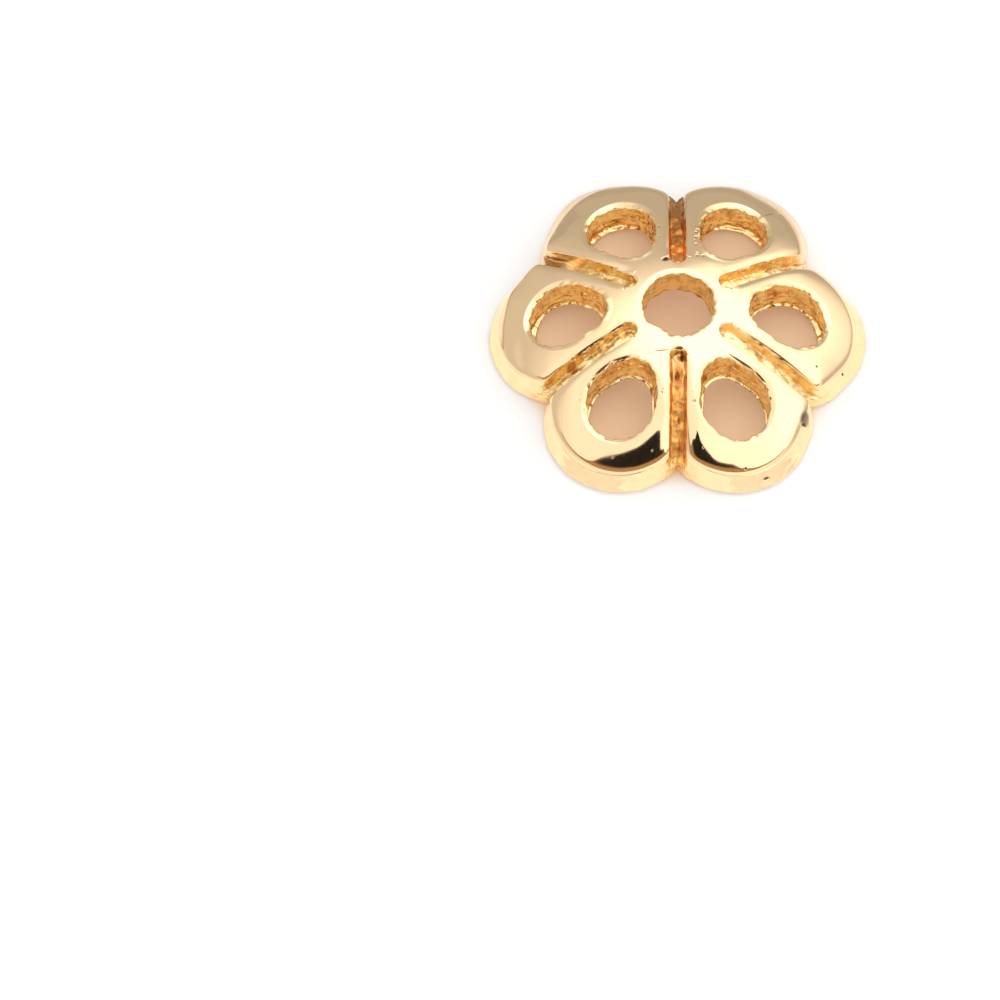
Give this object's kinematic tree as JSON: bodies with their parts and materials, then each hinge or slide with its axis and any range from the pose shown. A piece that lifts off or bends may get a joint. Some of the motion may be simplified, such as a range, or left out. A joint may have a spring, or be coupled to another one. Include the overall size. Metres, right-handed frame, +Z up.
{
  "type": "bead cap",
  "caption": "Shallow domed flower bead cap with pierced petals and radial grooves; sits over the end of a round bead on a thread.",
  "frame": {"origin": "centre of the base, on the thread hole's axis, at the height where the petal tips rest", "axes": "+Z up along the thread hole, away from the bead; +X through the middle of one petal"},
  "size_m": [0.01, 0.0092, 0.002],
  "materials": {
    "plated_metal": "polished gold plate, rough cast in the grooves and eyes"
  },
  "bodies": {
    "root": {"bead_cap": "plated_metal"}
  },
  "joints": []
}
